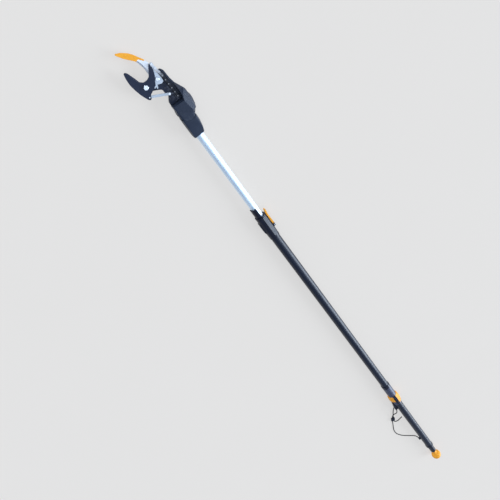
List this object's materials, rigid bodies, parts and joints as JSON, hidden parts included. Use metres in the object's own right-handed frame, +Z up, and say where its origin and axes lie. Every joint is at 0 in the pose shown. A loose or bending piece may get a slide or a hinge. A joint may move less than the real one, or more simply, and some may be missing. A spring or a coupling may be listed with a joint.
{
  "type": "tree pruner pole",
  "caption": "Telescopic pole pruner with a tilting head, a gear driven bypass blade on a hook, a cam clamp, a slide handle, a wrist cord and a pull ball",
  "frame": {"origin": "centre of the flat rest face under the head base, on the floor", "axes": "+X along the pole towards the cutting head, +Y to the blade side, +Z up"},
  "size_m": [2.37, 0.1385, 0.045],
  "materials": {
    "black_plastic": "fine moulded texture",
    "black_tube": "gloss black coating",
    "silver_tube": "satin anodised",
    "head_plastic": "fine moulded texture",
    "coated_steel": "dark low friction coating",
    "blade_steel": "ground",
    "bolt_steel": "bright zinc",
    "chain_steel": "oiled",
    "dark_steel": "black oxide",
    "orange_plastic": "satin moulded",
    "sleeve_plastic": "satin moulded",
    "cord": "braided",
    "strap": "woven"
  },
  "bodies": {
    "pole": {"outer_tube": "black_tube", "clamp_collar": "black_plastic", "guide_bush": "sleeve_plastic", "clamp_pin": "bolt_steel", "stop_ring": "black_plastic", "cord_eyelet": "black_plastic", "end_cap": "black_plastic"},
    "clamp_lever": {"clamp_lever": "orange_plastic"},
    "mast": {"inner_tube": "silver_tube", "foot_bush": "sleeve_plastic", "base_upper": "head_plastic", "base_lower": "head_plastic", "base_screws": "bolt_steel", "tube_pin": "bolt_steel"},
    "head": {"tilt_bolt": "dark_steel", "tilt_nut": "bolt_steel", "housing_upper": "head_plastic", "housing_lower": "head_plastic", "chassis": "coated_steel", "chassis_screws": "dark_steel", "hook": "coated_steel", "hook_spacer": "bolt_steel", "brace": "blade_steel", "brace_screws": "bolt_steel", "blade_bolt": "bolt_steel", "blade_nut": "bolt_steel", "lever_bolt": "bolt_steel", "lever_nut": "bolt_steel", "pivot_washers": "dark_steel"},
    "blade": {"blade": "blade_steel", "tip_guard": "orange_plastic", "guard_rivets": "orange_plastic"},
    "lever": {"drive_lever": "blade_steel", "lever_pin": "bolt_steel"},
    "chain": {"chain_outer_plates": "chain_steel", "chain_inner_plates": "chain_steel", "chain_pins": "chain_steel"},
    "handle": {"handle_sleeve": "sleeve_plastic", "right_wing": "orange_plastic", "left_wing": "orange_plastic", "saddle": "black_plastic", "cord_lug": "black_plastic", "shuttle": "bolt_steel", "drive_strap": "strap", "handle_screws": "bolt_steel", "cord": "cord", "toggle": "black_plastic"},
    "knob": {"end_ball": "orange_plastic", "ball_strap": "strap"}
  },
  "joints": [
    {"name": "pole_extend", "type": "slide", "parent": "pole", "child": "mast", "axis": [1, 0, 0], "range_m": [0, 0.9]},
    {"name": "clamp_lever_open", "type": "hinge", "parent": "pole", "child": "clamp_lever", "pos_m": [-0.432, -0.022, 0.022], "axis": [0, 0, -1], "range_deg": [0, 100]},
    {"name": "head_tilt", "type": "hinge", "parent": "mast", "child": "head", "pos_m": [0.04, -0.008, 0.022], "axis": [0, 0, 1], "range_deg": [0, 60]},
    {"name": "handle_slide", "type": "slide", "parent": "pole", "child": "handle", "axis": [-1, 0, 0], "range_m": [0, 0.2], "stiffness_N_per_m": 60, "springref_m": -0.05, "deforming": ["cord"]},
    {"name": "blade_close", "type": "hinge", "parent": "head", "child": "blade", "pos_m": [0.152, 0.041, 0.022], "axis": [0, 0, 1], "range_deg": [0, 50.1]},
    {"name": "lever_turn", "type": "hinge", "parent": "head", "child": "lever", "pos_m": [0.151, 0.00341, 0.022], "axis": [0, 0, 1], "range_deg": [-28.2, 0]},
    {"name": "chain_swing", "type": "hinge", "parent": "lever", "child": "chain", "pos_m": [0.1895, -0.00719, 0.022], "axis": [0, 0, 1], "range_deg": [0, 19.1]},
    {"name": "ball_pull", "type": "slide", "parent": "pole", "child": "knob", "axis": [-1, 0, 0], "range_m": [0, 0.3], "stiffness_N_per_m": 15, "springref_m": -0.1}
  ],
  "couplings": [
    {"joint": "blade_close", "follows": "handle_slide", "rad_per_m": 4.363},
    {"joint": "lever_turn", "follows": "handle_slide", "rad_per_m": -2.444},
    {"joint": "chain_swing", "follows": "handle_slide", "rad_per_m": 1.656}
  ]
}
